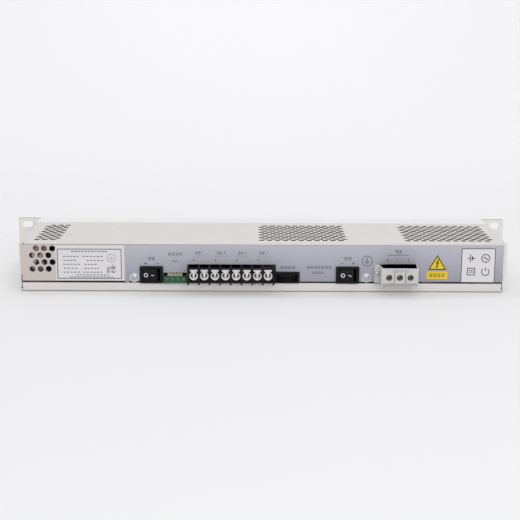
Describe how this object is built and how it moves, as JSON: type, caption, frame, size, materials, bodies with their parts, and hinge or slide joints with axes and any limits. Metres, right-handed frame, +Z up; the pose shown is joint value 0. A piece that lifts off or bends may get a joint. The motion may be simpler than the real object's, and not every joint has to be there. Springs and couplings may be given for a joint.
{
  "type": "rackmount ups",
  "caption": "Shallow one-unit rackmount uninterruptible power supply with rear terminal blocks, rocker switches, vented steel case and rack ears.",
  "frame": {"origin": "middle of the footprint (bounding box over ears and mains terminal block), on the surface the case rests on", "axes": "+X to the right for someone looking at the connectors, -Y out of the connector side, +Y out of the front panel, +Z up"},
  "size_m": [0.4826, 0.141, 0.044],
  "materials": {
    "case_paint": "satin light grey powder coat",
    "front_paint": "satin pale grey powder coat",
    "bare_steel": "zinc-plated steel, slightly warm",
    "film": "blue-grey printed polyester film",
    "label": "white printed label",
    "warning": "yellow printed sticker",
    "black_plastic": "black moulded plastic",
    "grey_plastic": "light grey moulded plastic",
    "green_plastic": "green moulded plastic",
    "ivory_plastic": "ivory moulded plastic",
    "nickel": "nickel-plated steel",
    "board": "green glass-epoxy board",
    "heatsink_metal": "extruded aluminium",
    "core": "laminated steel core",
    "wrap": "blue shrink wrap",
    "sleeve": "black capacitor sleeve",
    "led": "green light lens"
  },
  "bodies": {
    "chassis": {"base_tray": "case_paint", "top_cover": "case_paint", "rack_ear_left": "case_paint", "rack_ear_right": "case_paint", "front_panel": "front_paint", "rear_panel": "bare_steel", "rear_overlay_film": "film", "rating_label": "label", "pictogram_label": "label", "hazard_triangle": "warning", "hazard_plate": "warning", "ear_screw_left_1": "nickel", "cover_screw_left_1": "nickel", "ear_screw_left_2": "nickel", "cover_screw_left_2": "nickel", "ear_screw_right_1": "nickel", "cover_screw_right_1": "nickel", "ear_screw_right_2": "nickel", "cover_screw_right_2": "nickel", "ground_screw_1": "nickel", "ground_screw_2": "nickel", "battery_switch_housing": "black_plastic", "battery_switch_tab_1": "nickel", "battery_switch_tab_2": "nickel", "mains_switch_housing": "black_plastic", "mains_switch_tab_1": "nickel", "mains_switch_tab_2": "nickel", "output_block_body": "black_plastic", "output_screw_1": "nickel", "output_screw_2": "nickel", "output_screw_3": "nickel", "output_screw_4": "nickel", "output_screw_5": "nickel", "output_screw_6": "nickel", "output_screw_7": "nickel", "output_screw_8": "nickel", "mains_block_body": "grey_plastic", "mains_screw_1": "nickel", "mains_screw_2": "nickel", "mains_screw_3": "nickel", "mains_block_fixing_screw": "nickel", "signal_header": "black_plastic", "monitor_header": "green_plastic", "monitor_marker_strip": "ivory_plastic", "main_board": "board", "board_standoff_1": "nickel", "board_standoff_2": "nickel", "board_standoff_3": "nickel", "board_standoff_4": "nickel", "heatsink": "heatsink_metal", "transformer": "core", "battery_pack": "wrap", "capacitor_1": "sleeve", "capacitor_2": "sleeve", "status_led_1": "led", "status_led_2": "led", "status_led_3": "led"},
    "battery_rocker": {"battery_switch_rocker": "black_plastic"},
    "mains_rocker": {"mains_switch_rocker": "black_plastic"},
    "plug": {"monitor_plug": "green_plastic"}
  },
  "joints": [
    {"name": "battery_switch_tilt", "type": "hinge", "parent": "chassis", "child": "battery_rocker", "pos_m": [-0.0995, -0.05025, 0.01525], "axis": [0, 0, 1], "range_deg": [0, 20]},
    {"name": "mains_switch_tilt", "type": "hinge", "parent": "chassis", "child": "mains_rocker", "pos_m": [0.0765, -0.05025, 0.0155], "axis": [0, 0, 1], "range_deg": [0, 20]},
    {"name": "monitor_plug_pull", "type": "slide", "parent": "chassis", "child": "plug", "axis": [0, -1, 0], "range_m": [0, 0.012]}
  ]
}
